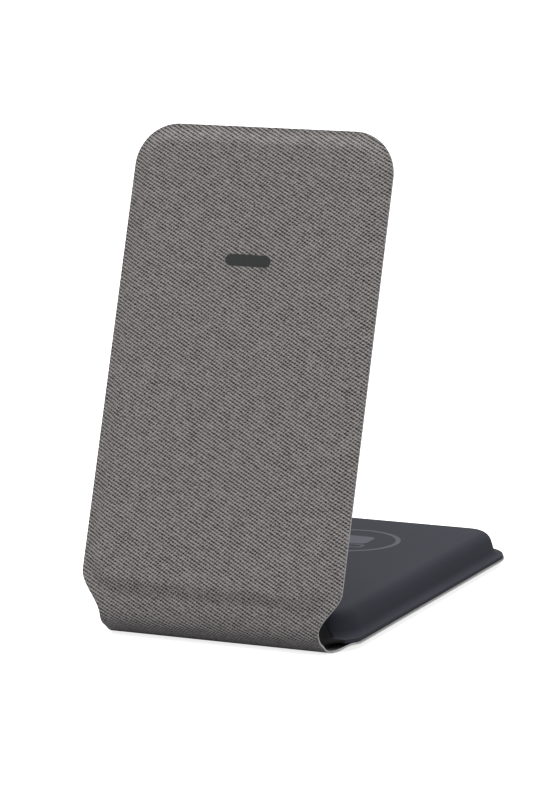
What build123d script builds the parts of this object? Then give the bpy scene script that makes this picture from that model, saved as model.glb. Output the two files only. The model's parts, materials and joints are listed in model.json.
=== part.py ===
from build123d import *
import math
import os

# Folding two-panel wireless charger: a base panel that lies on the desk, an upright panel
# that leans over it, and a soft spine with two friction hinges between them.
#
# Millimetres. +X runs along the fold, +Y along the base away from the fold, +Z up.
# The origin is the centre of the base's resting face.
#
# Both panels are drawn in a panel frame (x, s, t): s is the distance from the panel's own
# fold axis towards its far edge, and t is the height above the outer face of its thin rim.
# t rises through the panel from the fabric back to the soft charging face.

# ---- Overall sizes ----
panel_width = 80.0
panel_length = 133.4
corner_radius = 12.7
pad_height = 8.6
plateau_drop = 2.0
rim_width = 4.5
shoulder_width = 6.2
spine_width = 67.4
neck_length = 6.4

# ---- Fold: angles away from lying flat, at rest ----
base_fold_angle = 60.0
upright_fold_angle = 48.0
closed_gap = 0.4

# ---- Skins, walls and clearances ----
fabric_thickness = 0.8
cover_skin = 0.8
foam_thickness = 0.6
shell_wall = 1.0
lining_thickness = 0.6
wall_draft = 8.0
pad_edge_radius = 3.0
pad_near_radius = 9.0
skin_gap = 0.1
slot_gap = 0.15
body_gap = 0.3

# ---- Hinges ----
pin_radius = 0.9
pin_running_gap = 0.03
knuckle_radius = 1.5
hinge_spacing = 40.0
hinge_width = 16.0
link_width = 5.8
link_side_gap = 0.2
leaf_thickness = 0.8
leaf_length = 15.5
leaf_screw_pitch = 10.0
leaf_screw_s = 12.0
pad_start = 5.0

# ---- Inside the pads ----
shell_split = 4.0
board_thickness = 1.0
board_half_width = 25.0
board_start = 20.0
board_end = 66.0
board_standoff = 1.6
board_screw_x = 21.0
board_screw_inset = 4.0
pillar_x = 29.5
pillar_s = (22.0, 70.0, 118.0)
pillar_radius = 3.0
coil_from_far_edge = 39.0
holder_thickness = 0.8
ferrite_thickness = 0.6
coil_wire = 1.2
coil_roof_gap = 0.2
phone_coil_turns = 10
phone_coil_inner = 9.5
accessory_coil_turns = 6
accessory_coil_inner = 7.5
magnet_count = 16
magnet_width = 3.4
magnet_fill = 0.86
ring_gap = 0.6
alignment_magnet_length = 17.0
alignment_magnet_width = 4.0
alignment_magnet_gap = 3.5

# ---- Screws: head radius, head height, shank radius, shank length ----
shell_screw = (1.9, 1.2, 0.85, 5.0)
board_screw = (1.5, 0.8, 0.65, 2.2)
leaf_screw = (1.5, 0.8, 0.65, 2.6)
pilot_gap = 0.05

# ---- Socket, status light, prints and badge ----
port_s = 31.0
port_width = 8.94
port_height = 3.26
port_depth = 7.35
port_wall = 0.3
port_setback = 0.15
tongue_width = 6.7
tongue_thickness = 0.7
tongue_length = 4.5
bezel_border = 0.8
bezel_depth = 1.5
bezel_proud = 0.15
light_s = 44.0
light_radius = 0.8
print_thickness = 0.1
print_band = 1.5
accessory_ring_radius = 15.8
phone_ring_radius = 27.0
icon_width = 13.0
icon_lid_s = 1.7
icon_lid_length = 10.2
icon_tray_s = -6.5
icon_tray_length = 4.4
icon_line = 0.8
icon_corner = 2.5
badge_length = 14.0
badge_width = 3.4
badge_thickness = 0.5
badge_proud = 0.1

# ---- Spine skins ----
ribbon_width = 11.0
ribbon_thickness = 0.3
curl_base_reach = 11.6
curl_upright_reach = 8.0
curl_radius = 9.0
lining_reach = 5.5
ribbon_reach = 6.0

# ---- Worked out from the sizes above ----
half_width = panel_width / 2
flange_top = fabric_thickness + cover_skin
axis_height = fabric_thickness + body_gap + knuckle_radius
link_length = 2 * (pad_height - axis_height) + closed_gap
lean = base_fold_angle + upright_fold_angle
plateau_end = panel_length - shoulder_width
plateau_centre = plateau_end / 2
tray_bottom = fabric_thickness - plateau_drop
floor_top = tray_bottom + shell_wall
ledge_top = fabric_thickness + shell_wall
cover_underside = pad_height - cover_skin
roof_top = cover_underside - foam_thickness
roof_underside = roof_top - shell_wall
shell_inset = cover_skin + skin_gap
cavity_inset = shell_inset + shell_wall
board_bottom = floor_top + board_standoff
board_top = board_bottom + board_thickness
coil_s = panel_length - coil_from_far_edge
coil_bottom = roof_underside - coil_roof_gap - coil_wire
ferrite_bottom = coil_bottom - ferrite_thickness
holder_bottom = ferrite_bottom - holder_thickness
phone_coil_outer = phone_coil_inner + coil_wire * phone_coil_turns
accessory_coil_outer = accessory_coil_inner + coil_wire * accessory_coil_turns
magnet_inner = phone_coil_outer + ring_gap
magnet_outer = magnet_inner + magnet_width
leaf_bottom = axis_height - leaf_thickness / 2
leaf_top = axis_height + leaf_thickness / 2
port_centre_t = board_top + port_height / 2
ribbon_t = leaf_top + ribbon_thickness / 2 + skin_gap


def turned_from_flat(angle):
    """Unit direction in the YZ plane of a part folded up by this angle from lying flat."""
    radians = math.radians(angle)
    return Vector(0, -math.cos(radians), math.sin(radians))


base_axis = Vector(0, -plateau_centre, plateau_drop + axis_height)
upright_axis = base_axis + turned_from_flat(base_fold_angle) * link_length
upright_up = turned_from_flat(lean)
upright_front = Vector(0, upright_up.Z, -upright_up.Y)
spine_up = turned_from_flat(base_fold_angle)
spine_outward = Vector(0, -spine_up.Z, spine_up.Y)

base_frame = Plane(
    origin=base_axis - Vector(0, 0, axis_height),
    x_dir=(1, 0, 0),
    z_dir=(0, 0, 1),
)
upright_frame = Plane(
    origin=upright_axis - upright_front * axis_height,
    x_dir=(-1, 0, 0),
    z_dir=upright_front,
)
spine_frame = Plane(origin=base_axis, x_dir=(1, 0, 0), z_dir=spine_outward)


# ---- Outlines in the panel frame ----

def rounded_panel(half, start, end, near_radius, far_radius):
    """A panel-shaped sketch with its own corner radii at the fold end and the far end."""
    outline = Pos(0, (start + end) / 2) * Rectangle(2 * half, end - start)
    outline = fillet(outline.vertices().sort_by(Axis.Y)[2:], far_radius)
    return fillet(outline.vertices().group_by(Axis.Y)[0], near_radius)


def draft_at(t):
    """How far the drafted pad wall has moved in at height t."""
    return (t - flange_top) * math.tan(math.radians(wall_draft))


def pad_outline(inset, t):
    """The soft pad's outline at height t, moved in by inset."""
    moved = inset + draft_at(t)
    return rounded_panel(
        half_width - rim_width - moved,
        pad_start + moved,
        panel_length - rim_width - moved,
        pad_near_radius - moved,
        corner_radius - rim_width - moved,
    )


def back_outline(inset, start):
    """The raised back's outline, moved in by inset on three sides, from its own start."""
    return rounded_panel(
        half_width - shoulder_width - inset,
        start,
        plateau_end - inset,
        corner_radius / 2 - inset,
        corner_radius - rim_width - inset,
    )


def flange_outline(start):
    """The thin rim's full outline: a narrow neck at the fold that swells to full width."""
    neck = spine_width / 2
    pull = neck_length / 2
    right = [
        Bezier((neck, 0), (neck, pull), (half_width, neck_length - pull), (half_width, neck_length)),
        Line((half_width, neck_length), (half_width, panel_length - corner_radius)),
        RadiusArc(
            (half_width, panel_length - corner_radius),
            (half_width - corner_radius, panel_length),
            -corner_radius,
        ),
    ]
    left = [edge.mirror(Plane.YZ) for edge in right]
    top = Line((half_width - corner_radius, panel_length), (corner_radius - half_width, panel_length))
    foot = Line((-neck, 0), (neck, 0))
    outline = make_face(Wire([*right, top, *left, foot]))
    keep = Pos(0, start + panel_length) * Rectangle(2 * panel_width, 2 * panel_length)
    return outline & keep


def plate(outline, low, high):
    return extrude(Pos(0, 0, low) * outline, high - low)


def drafted(outline, low, high):
    return extrude(Pos(0, 0, low) * outline, high - low, taper=wall_draft)


def soft_topped(outline, low, high, radius):
    """A drafted block whose upper edge is rounded over."""
    block = drafted(outline, low, high)
    return fillet(block.faces().sort_by(Axis.Z)[-1].edges(), radius)


def post(x, s, radius, low, high):
    return Pos(x, s, (low + high) / 2) * Cylinder(radius, high - low)


def block(x_range, s_range, t_range):
    sizes = [high - low for low, high in (x_range, s_range, t_range)]
    centre = [(high + low) / 2 for low, high in (x_range, s_range, t_range)]
    return Pos(*centre) * Box(*sizes)


def centred_on(middle, width):
    return (middle - width / 2, middle + width / 2)


# ---- Places shared by pieces that fasten to each other ----

hinge_x = (-hinge_spacing / 2, hinge_spacing / 2)
pillars = [(side * pillar_x, s) for side in (-1, 1) for s in pillar_s]
board_holes = [
    (side * board_screw_x, s)
    for side in (-1, 1)
    for s in (board_start + board_screw_inset, board_end - board_screw_inset)
]
leaf_holes = [
    (x + side * leaf_screw_pitch / 2, leaf_screw_s)
    for x in hinge_x
    for side in (-1, 1)
]


def holder_post_places(radius):
    """Four posts under a coil holder, on its diagonals."""
    reach = (radius - 3) * math.sqrt(0.5)
    return [(x * reach, coil_s + y * reach) for x in (-1, 1) for y in (-1, 1)]


def wall_slots():
    """Where hinge leaves and the ribbon cable pass through the pad's wall at the fold."""
    depth = (pad_start - shell_wall, pad_start + cavity_inset + 3 * shell_wall)
    height = (leaf_bottom - slot_gap, leaf_top + slot_gap)
    slots = [block(centred_on(x, hinge_width + 2 * slot_gap), depth, height) for x in hinge_x]
    ribbon_height = centred_on(ribbon_t, ribbon_thickness + 2 * slot_gap)
    slots.append(block(centred_on(0, ribbon_width + 2 * slot_gap), depth, ribbon_height))
    return slots


# ---- Panel pieces, in the panel frame ----

def back_fabric(with_badge):
    """Outer cloth: a thin rim and a raised back that wraps the tray."""
    skin = plate(flange_outline(0), 0, fabric_thickness)
    skin += plate(back_outline(0, 0), -plateau_drop, 0)
    skin -= plate(back_outline(fabric_thickness, fabric_thickness), tray_bottom, fabric_thickness)
    if with_badge:
        skin -= badge(skin_gap / 2)
    return skin


def badge(clearance):
    """A plain pill-shaped inlay in the raised back, or its pocket when given a clearance."""
    outline = SlotOverall(badge_length + 2 * clearance, badge_width + 2 * clearance)
    low = -plateau_drop - badge_proud
    return plate(Pos(0, coil_s) * outline, low, low + badge_thickness)


def pad_cover(openings):
    """Soft cover: a domed top and drafted wall with a thin rim that lies on the cloth."""
    rim_start = knuckle_radius + body_gap + slot_gap
    cover = plate(flange_outline(rim_start), fabric_thickness, flange_top)
    cover += soft_topped(pad_outline(0, flange_top), flange_top, pad_height, pad_edge_radius)
    hollow = soft_topped(
        pad_outline(cover_skin, fabric_thickness),
        fabric_thickness,
        cover_underside,
        pad_edge_radius - cover_skin,
    )
    cover -= hollow
    for opening in openings:
        cover -= opening
    return cover


def lower_shell(holder_radius, openings):
    """Tray with its floor in the raised back, pillars, board posts and hinge blocks."""
    wall_start = pad_start + cavity_inset
    shell = plate(
        back_outline(fabric_thickness + skin_gap, fabric_thickness + skin_gap),
        tray_bottom,
        fabric_thickness,
    )
    shell += drafted(pad_outline(shell_inset, fabric_thickness), fabric_thickness, shell_split)
    shell -= plate(
        back_outline(fabric_thickness + skin_gap + shell_wall, wall_start + shell_wall),
        floor_top,
        ledge_top,
    )
    shell -= drafted(pad_outline(cavity_inset, ledge_top), ledge_top, shell_split)
    for opening in openings:
        shell -= opening
    for x, s in pillars:
        shell += post(x, s, pillar_radius, floor_top, shell_split - slot_gap)
    for x, s in board_holes:
        shell += post(x, s, board_screw[0] + board_thickness, floor_top, board_bottom)
    for x in hinge_x:
        shell += block(
            centred_on(x, hinge_width),
            (wall_start + shell_wall, leaf_length),
            (floor_top, leaf_bottom),
        )
    return shell - shell_screw_holes() - pilot_holes(board_holes, board_screw, board_bottom) \
        - pilot_holes(leaf_holes, leaf_screw, leaf_bottom)


def shell_screw_holes():
    """Clearance holes and counterbores through the tray's pillars."""
    head, height, shank, _ = shell_screw
    seat = screw_seat()
    holes = [post(x, s, head + skin_gap, tray_bottom, seat) for x, s in pillars]
    holes += [post(x, s, shank + slot_gap, seat, shell_split) for x, s in pillars]
    return holes


def screw_seat():
    """Height where a shell screw's head bears."""
    return tray_bottom + shell_screw[1] + body_gap


def pilot_holes(places, screw, top):
    """Blind holes for screws whose heads bear on a plate that lies on top."""
    depth = screw[3]
    floor = max(top - depth, tray_bottom + shell_wall / 2)
    return [post(x, s, screw[2] + pilot_gap, floor, top) for x, s in places]


def upper_shell(openings):
    """Roof with drafted walls and a boss over each of the tray's pillars."""
    shell = soft_topped(
        pad_outline(shell_inset, shell_split),
        shell_split,
        roof_top,
        pad_edge_radius - shell_wall,
    )
    shell -= drafted(pad_outline(cavity_inset, shell_split), shell_split, roof_underside)
    for x, s in pillars:
        shell += post(x, s, pillar_radius, shell_split, roof_underside)
        shell -= post(x, s, shell_screw[2] + pilot_gap, shell_split, roof_underside)
    for opening in openings:
        shell -= opening
    return shell


def foam_sheet():
    """Thin foam between the roof and the soft cover."""
    return plate(pad_outline(pad_edge_radius + cover_skin, roof_top), roof_top, cover_underside)


def screws(places, screw, seat, upwards=1):
    """Pan-head screws with a cross recess; shanks point along t times upwards."""
    head, height, shank, length = screw
    recess_depth = height / 2
    body = Pos(0, 0, -height / 2) * Cylinder(head, height)
    body = fillet(body.edges().sort_by(Axis.Z)[0], height / 3)
    body += Pos(0, 0, length / 2) * Cylinder(shank, length)
    body = chamfer(body.edges().sort_by(Axis.Z)[-1], shank / 2)
    for turn in (0, 90):
        slot = Box(head, head / 4, recess_depth)
        body -= Pos(0, 0, -height + recess_depth / 2) * Rot(0, 0, turn) * slot
    if upwards < 0:
        body = Rot(180, 0, 0) * body
    return [Pos(x, s, seat) * body for x, s in places]


def circuit_board(reach_to_port):
    """Board with screw holes and, on the base, a tab that carries the socket."""
    length = board_end - board_start
    outline = Pos(0, board_start + length / 2) * Rectangle(2 * board_half_width, length)
    if reach_to_port:
        tab_end = half_width - shoulder_width - fabric_thickness - skin_gap - shell_wall - body_gap
        tab = Rectangle(tab_end, port_width + 1)
        outline += Pos(-tab_end / 2, port_s) * tab
    board = plate(outline, board_bottom, board_top)
    for x, s in board_holes:
        board -= post(x, s, board_screw[2] + slot_gap, board_bottom, board_top)
    return board


# Each entry is an electronic part: x, distance past the board's start, width, length, height.
base_components = (
    (-8.0, 11.0, 7.0, 7.0, 0.9),
    (6.0, 11.0, 5.0, 5.0, 0.9),
    (15.5, 17.0, 6.5, 6.5, 2.4),
    (15.5, 27.0, 6.5, 6.5, 2.4),
    (-6.0, 23.0, 4.0, 5.0, 1.0),
    (0.0, 23.0, 3.2, 1.6, 1.0),
    (5.0, 23.0, 3.2, 1.6, 1.0),
    (-14.0, 30.0, 5.0, 5.0, 1.8),
    (-5.0, 34.0, 3.2, 2.5, 1.2),
    (1.0, 34.0, 3.2, 2.5, 1.2),
    (7.0, 34.0, 3.2, 2.5, 1.2),
)
upright_components = (
    (-9.0, 12.0, 7.0, 7.0, 0.9),
    (3.0, 12.0, 4.0, 4.0, 0.9),
    (14.5, 16.0, 7.0, 7.0, 2.4),
    (-16.5, 24.0, 5.0, 5.0, 1.8),
    (-6.0, 25.0, 3.2, 1.6, 1.0),
    (0.0, 25.0, 3.2, 1.6, 1.0),
    (6.0, 25.0, 3.2, 1.6, 1.0),
    (14.5, 29.0, 5.0, 3.0, 1.2),
    (-3.0, 35.0, 3.2, 2.5, 1.2),
    (3.0, 35.0, 3.2, 2.5, 1.2),
)
connector_length = 3.0
connector_rise = 1.2


def board_parts(components):
    """Chips, inductors and capacitors, with the ribbon's connector at the fold end."""
    parts = []
    for x, along, width, length, height in components:
        place = Pos(x, board_start + along, board_top + height / 2)
        parts.append(place * Box(width, length, height))
    connector_end = (board_start + 1, board_start + 1 + connector_length)
    socket_width = centred_on(0, ribbon_width + 2)
    parts.append(block(socket_width, connector_end, (board_top, board_top + connector_rise)))
    return parts


def wound_coil(inner, turns):
    """Flat coil of round wire: a thin web with one rounded ridge for each turn."""
    middle = coil_bottom + coil_wire / 2
    section = Pos(inner + turns * coil_wire / 2, middle) * Rectangle(turns * coil_wire, coil_wire / 2)
    for turn in range(turns):
        section += Pos(inner + (turn + 0.5) * coil_wire, middle) * Circle(coil_wire / 2)
    return Pos(0, coil_s, 0) * revolve(Plane.XZ * section, Axis.Z)


def ferrite_disc(radius):
    return post(0, coil_s, radius, ferrite_bottom, coil_bottom)


def coil_holder(radius):
    """Disc that carries ferrite and coil, on four posts that stand on the tray's floor."""
    holder = post(0, coil_s, radius, holder_bottom, ferrite_bottom)
    for x, s in holder_post_places(radius):
        holder += post(x, s, 2, floor_top, holder_bottom)
    return holder


def magnet_ring():
    """Ring of flat arc magnets round the phone coil."""
    pitch = 360 / magnet_count
    ring = Circle(magnet_outer) - Circle(magnet_inner)
    reach = 2 * magnet_outer
    half_angle = math.radians(pitch * magnet_fill / 2)
    rise = reach * math.tan(half_angle)
    wedge = make_face(Polyline((0, 0), (reach, -rise), (reach, rise), (0, 0)))
    segment = plate(Pos(0, 0) * (ring & wedge), ferrite_bottom, coil_bottom + coil_wire)
    return [Pos(0, coil_s, 0) * Rot(0, 0, pitch * (n + 0.5)) * segment for n in range(magnet_count)]


def alignment_magnet():
    """Bar magnet between the ring and the board that squares the phone up."""
    middle = coil_s - magnet_outer - alignment_magnet_gap - alignment_magnet_width / 2
    return block(
        centred_on(0, alignment_magnet_length),
        centred_on(middle, alignment_magnet_width),
        (ferrite_bottom, coil_bottom + coil_wire),
    )


def alignment_shelf():
    """Rib on the front shell's roof that the bar magnet is glued to."""
    middle = coil_s - magnet_outer - alignment_magnet_gap - alignment_magnet_width / 2
    return block(
        centred_on(0, alignment_magnet_length),
        centred_on(middle, alignment_magnet_width),
        (coil_bottom + coil_wire, roof_underside),
    )


def target_ring(radius):
    """A printed ring let into the cover, flush with its face."""
    ring = Circle(radius) - Circle(radius - print_band)
    return plate(Pos(0, coil_s) * ring, pad_height - print_thickness, pad_height)


def target_icon():
    """A plain case pictogram inside the accessory ring: a filled lid over an outlined tray."""
    lid = Pos(0, icon_lid_s) * RectangleRounded(icon_width, icon_lid_length, icon_corner)
    tray = RectangleRounded(icon_width + 2 * icon_line, icon_tray_length, icon_corner / 2)
    tray -= RectangleRounded(icon_width, icon_tray_length - 2 * icon_line, icon_corner / 4)
    marks = (lid, Pos(0, icon_tray_s) * tray)
    return [plate(Pos(0, coil_s) * mark, pad_height - print_thickness, pad_height) for mark in marks]


# ---- Hinge pieces ----

def along_x(x_range, radius):
    """A cylinder on a panel's fold axis."""
    length = x_range[1] - x_range[0]
    middle = (x_range[0] + x_range[1]) / 2
    return Pos(middle, 0, axis_height) * Rot(0, 90, 0) * Cylinder(radius, length)


def hinge_leaf(x):
    """Two knuckles and a flat leaf that reaches into the tray."""
    gap = link_width / 2 + link_side_gap
    edge = hinge_width / 2
    sides = ((x - edge, x - gap), (x + gap, x + edge))
    thickness = (leaf_bottom, leaf_top)
    leaf = block((x - edge, x + edge), (knuckle_radius + body_gap, leaf_length), thickness)
    for side in sides:
        leaf += along_x(side, knuckle_radius) + block(side, (0, knuckle_radius + body_gap), thickness)
    leaf -= along_x((x - edge, x + edge), pin_radius)
    for hole_x, s in leaf_holes:
        if abs(hole_x - x) < edge:
            leaf -= post(hole_x, s, leaf_screw[2] + slot_gap, leaf_bottom, leaf_top)
    return leaf


def hinge_pin(x):
    return along_x(centred_on(x, hinge_width), pin_radius)


def hinge_link(x):
    """Bar with a running bore at each end, in the spine's own frame."""
    outline = Pos(link_length / 2, 0) * SlotCenterToCenter(link_length, 2 * knuckle_radius)
    for end in (0, link_length):
        outline -= Pos(end, 0) * Circle(pin_radius + pin_running_gap)
    across = Plane(origin=(x - link_width / 2, 0, 0), x_dir=(0, 1, 0), z_dir=(1, 0, 0))
    return extrude(across * outline, link_width)


# ---- Spine skins, drawn in world coordinates ----

def seam_point(frame, s, t):
    """World (y, z) of a point at x = 0 in a panel frame."""
    point = frame.from_local_coords(Vector(0, s, t))
    return (point.Y, point.Z)


def fold_curve(s, t, base_reach, upright_reach):
    """Smooth curve from the base at (s, t) round the fold to the upright at (s, t)."""
    start = seam_point(base_frame, s, t)
    after_start = seam_point(base_frame, s - base_reach, t)
    before_end = seam_point(upright_frame, s - upright_reach, t)
    end = seam_point(upright_frame, s, t)
    return Bezier(start, after_start, before_end, end)


def folded_skin(s, low, high, reaches, width, tails=0):
    """A skin between heights low and high round the fold, with straight tails past s."""
    edges = []
    rows = []
    for t in (low, high):
        shrink = 1 - (t - min(low, high)) / curl_radius
        rows.append(fold_curve(s, t, reaches[0] * shrink, reaches[1] * shrink))
    ends = []
    for t in (low, high):
        ends.append((seam_point(base_frame, s + tails, t), seam_point(upright_frame, s + tails, t)))
    for row, (base_end, upright_end) in zip(rows, ends):
        edges.append(row)
        if tails:
            edges.append(Line(base_end, row @ 0))
            edges.append(Line(row @ 1, upright_end))
    edges.append(Line(ends[0][0], ends[1][0]))
    edges.append(Line(ends[0][1], ends[1][1]))
    section = make_face(Wire.combine(edges)[0])
    return Pos(-width / 2, 0, 0) * extrude(Plane.YZ * section, width)


def spine_fabric():
    reaches = (curl_base_reach, curl_upright_reach)
    return folded_skin(-skin_gap, 0, fabric_thickness, reaches, spine_width)


def spine_lining():
    """Inner skin over the hinges, from one pad's wall to the other's."""
    level = axis_height + knuckle_radius + body_gap + slot_gap
    start = pad_start + draft_at(level) - skin_gap
    reaches = (lining_reach, lining_reach)
    return folded_skin(start, level, level + lining_thickness, reaches, spine_width)


def ribbon_cable():
    """Flat cable from one board's connector to the other's, between the hinges."""
    low = ribbon_t - ribbon_thickness / 2
    tail = board_start + 1 - skin_gap - pad_start
    reaches = (ribbon_reach, ribbon_reach)
    return folded_skin(pad_start, low, low + ribbon_thickness, reaches, ribbon_width, tail)


# ---- Socket and status light, in the base's panel frame ----

def side_prism(outline, outer, depth):
    """An outline in (s, t) pushed inwards from the base's left wall at x = -outer."""
    face = Plane(origin=(-outer, 0, 0), x_dir=(0, 1, 0), z_dir=(1, 0, 0))
    return extrude(face * outline, depth)


def port_outline(grow):
    width = port_width + 2 * grow
    height = port_height + 2 * grow
    return Pos(port_s, port_centre_t) * RectangleRounded(width, height, height / 2 - 0.05)


wall_at_port = half_width - rim_width - draft_at(port_centre_t)
port_mouth = wall_at_port - port_setback


def port_shell():
    """Steel shell of the socket, closed at its inner end."""
    shell = side_prism(port_outline(0), port_mouth, port_depth)
    return shell - side_prism(port_outline(-port_wall), port_mouth, port_depth - port_wall)


def port_tongue():
    outline = Pos(port_s, port_centre_t) * Rectangle(tongue_width, tongue_thickness)
    back = port_mouth - port_depth + port_wall
    return side_prism(outline, back + tongue_length, tongue_length)


def port_bezel():
    """Trim ring in the soft cover round the socket's mouth."""
    ring = port_outline(bezel_border) - port_outline(skin_gap)
    return side_prism(ring, wall_at_port + bezel_proud, bezel_depth)


def light_pipe(clearance):
    outline = Pos(light_s, port_centre_t) * Circle(light_radius + clearance)
    return side_prism(outline, wall_at_port, cavity_inset + 2)


def base_cover_openings():
    depth = cover_skin + bezel_depth
    socket = side_prism(port_outline(bezel_border + skin_gap), half_width - rim_width, depth)
    light = side_prism(
        Pos(light_s, port_centre_t) * Circle(light_radius + skin_gap),
        half_width - rim_width,
        depth,
    )
    marks = [target_ring(accessory_ring_radius)] + target_icon()
    return wall_slots() + marks + [socket, light]


def base_shell_openings():
    """Clearances in both shells; the shells stop short of the bezel's inner face."""
    bezel_room = side_prism(
        port_outline(bezel_border + skin_gap),
        half_width - rim_width,
        half_width - rim_width - (wall_at_port + bezel_proud - bezel_depth - skin_gap),
    )
    socket_room = side_prism(port_outline(slot_gap), half_width - rim_width, port_depth)
    return wall_slots() + [bezel_room, socket_room, light_pipe(skin_gap)]


# ---- Writing the pieces ----

def place(shape, frame):
    if isinstance(shape, list):
        return Compound(children=[frame.location * piece for piece in shape])
    return frame.location * shape


def panel_pieces(name, lower, upper, turns, inner, outer, holder, components, openings):
    """The pieces that both panels have, keyed by node name, in the panel frame."""
    cover_openings, shell_openings = openings
    return {
        f"{name}_fabric": back_fabric(name == "upright"),
        f"{name}_pad_cover": pad_cover(cover_openings),
        f"{name}_{lower}": lower_shell(holder, shell_openings),
        f"{name}_{upper}": upper_shell(shell_openings),
        f"{name}_foam": foam_sheet(),
        f"{name}_circuit_board": circuit_board(name == "base"),
        f"{name}_board_components": board_parts(components),
        f"{name}_board_screws": screws(board_holes, board_screw, board_top, -1),
        f"{name}_shell_screws": screws(pillars, shell_screw, screw_seat()),
        f"{name}_coil": wound_coil(inner, turns),
        f"{name}_ferrite": ferrite_disc(outer),
        f"{name}_coil_holder": coil_holder(holder),
        f"{name}_hinge_leaves": [hinge_leaf(x) for x in hinge_x],
        f"{name}_hinge_pins": [hinge_pin(x) for x in hinge_x],
        f"{name}_hinge_screws": screws(leaf_holes, leaf_screw, leaf_top, -1),
    }


base = panel_pieces(
    "base",
    "lower_shell",
    "upper_shell",
    accessory_coil_turns,
    accessory_coil_inner,
    accessory_coil_outer,
    accessory_coil_outer + 2 * ring_gap,
    base_components,
    (base_cover_openings(), base_shell_openings()),
)
base["base_target_ring"] = target_ring(accessory_ring_radius)
base["base_target_icon"] = target_icon()
base["usb_c_shell"] = port_shell()
base["usb_c_tongue"] = port_tongue()
base["port_bezel"] = port_bezel()
base["status_light_pipe"] = light_pipe(0)

upright = panel_pieces(
    "upright",
    "back_shell",
    "front_shell",
    phone_coil_turns,
    phone_coil_inner,
    phone_coil_outer,
    magnet_outer + ring_gap,
    upright_components,
    (wall_slots() + [target_ring(phone_ring_radius)], wall_slots()),
)
upright["upright_front_shell"] += alignment_shelf()
upright["upright_target_ring"] = target_ring(phone_ring_radius)
upright["upright_magnet_ring"] = magnet_ring()
upright["upright_alignment_magnet"] = alignment_magnet()
upright["upright_badge"] = badge(0)

nodes = {name: place(shape, base_frame) for name, shape in base.items()}
nodes.update({name: place(shape, upright_frame) for name, shape in upright.items()})
nodes["hinge_links"] = place([hinge_link(x) for x in hinge_x], spine_frame)
nodes["spine_fabric"] = spine_fabric()
nodes["spine_lining"] = spine_lining()
nodes["ribbon_cable"] = ribbon_cable()

os.makedirs("parts", exist_ok=True)
for name, shape in nodes.items():
    export_step(shape, f"parts/{name}.step")
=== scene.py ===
import json
import math

import bmesh
import bpy
import numpy as np
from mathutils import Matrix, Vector


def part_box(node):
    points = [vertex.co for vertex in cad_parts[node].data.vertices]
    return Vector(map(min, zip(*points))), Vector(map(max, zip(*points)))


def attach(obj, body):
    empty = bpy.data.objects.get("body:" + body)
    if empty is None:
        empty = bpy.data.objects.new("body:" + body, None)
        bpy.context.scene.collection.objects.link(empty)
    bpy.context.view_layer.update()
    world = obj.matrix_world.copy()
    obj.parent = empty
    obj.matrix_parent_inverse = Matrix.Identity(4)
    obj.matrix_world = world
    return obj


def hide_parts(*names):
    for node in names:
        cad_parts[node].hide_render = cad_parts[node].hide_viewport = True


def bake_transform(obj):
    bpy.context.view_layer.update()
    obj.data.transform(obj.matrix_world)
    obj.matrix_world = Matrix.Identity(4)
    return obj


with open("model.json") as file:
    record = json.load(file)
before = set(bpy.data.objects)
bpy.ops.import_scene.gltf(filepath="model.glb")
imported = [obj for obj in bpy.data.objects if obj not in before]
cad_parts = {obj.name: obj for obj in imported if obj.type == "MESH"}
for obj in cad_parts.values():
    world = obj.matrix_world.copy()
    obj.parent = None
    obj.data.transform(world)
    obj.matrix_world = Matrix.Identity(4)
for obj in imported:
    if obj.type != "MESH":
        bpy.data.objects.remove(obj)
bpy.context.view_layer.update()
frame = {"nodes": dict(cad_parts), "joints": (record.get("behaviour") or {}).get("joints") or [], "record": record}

# A folding charging pad: a base on the desk, an upright that leans over it and a soft spine.
# Metres. The base lies on z = 0 with its fold towards -Y.
# Panel coordinates: x across, s away from the panel's fold axis, t up through the panel
# from the outer face of its thin rim to its soft charging face.

MM = 0.001

# ---- Sizes read from the frame ----
cloth_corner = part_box("base_fabric")[1]
pad_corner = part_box("base_pad_cover")[1]
HALF_WIDTH = cloth_corner.x
joint_at = {joint["name"]: Vector(joint["pos_m"]) for joint in frame["joints"]}
PANEL_LENGTH = cloth_corner.y - joint_at["base_fold"].y
mount_axis = {mount["name"]: Vector(mount["axis"]) for mount in frame["record"]["mounts"]}

# ---- Sizes that repeat the hard model's ----
CLOTH = 0.8 * MM
COVER = 0.8 * MM
DROP = cloth_corner.z - CLOTH
RIM_TOP = CLOTH + COVER
AXIS_HEIGHT = joint_at["base_fold"].z - DROP
PAD_HEIGHT = pad_corner.z - DROP
RIM = 4.5 * MM
CORNER_RADIUS = 12.7 * MM
SPINE_HALF = 33.7 * MM
PAD_HALF = HALF_WIDTH - RIM
PAD_END = PANEL_LENGTH - RIM
PAD_START = 5.0 * MM
PAD_NEAR_RADIUS = 9.0 * MM
PAD_FAR_RADIUS = CORNER_RADIUS - RIM
WALL_DRAFT = math.radians(8)
TOP_RADIUS = 3.0 * MM

# Neck: where each panel narrows to the spine, from and to, in s.
NECK_BASE = (-3.2 * MM, 6.2 * MM)
NECK_UPRIGHT = (-9.3 * MM, 3.2 * MM)

# ---- Soft cloth ----
# It thins to EDGE_CLOTH at its cut edge, over EDGE_TAPER. Panel and spine cloth meet at SEAM_S.
EDGE_CLOTH = 0.6 * MM
EDGE_TAPER = 2.4 * MM
SEAM_S = 6.6 * MM
CURL_BASE = 11.6 * MM
CURL_UPRIGHT = 8.0 * MM

# Raised back of each panel: its insets, its corner, and where its soft shoulders start.
FOOT_SIDE = 0.9 * MM
FOOT_FAR = 0.5 * MM
FOOT_CORNER = 11.0 * MM
FOOT_NEAR_BASE = -8.5 * MM
FOOT_NEAR_UPRIGHT = -3.4 * MM
BASE_BELLY = 9.2 * MM
SHOULDER = 5.0 * MM

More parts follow.
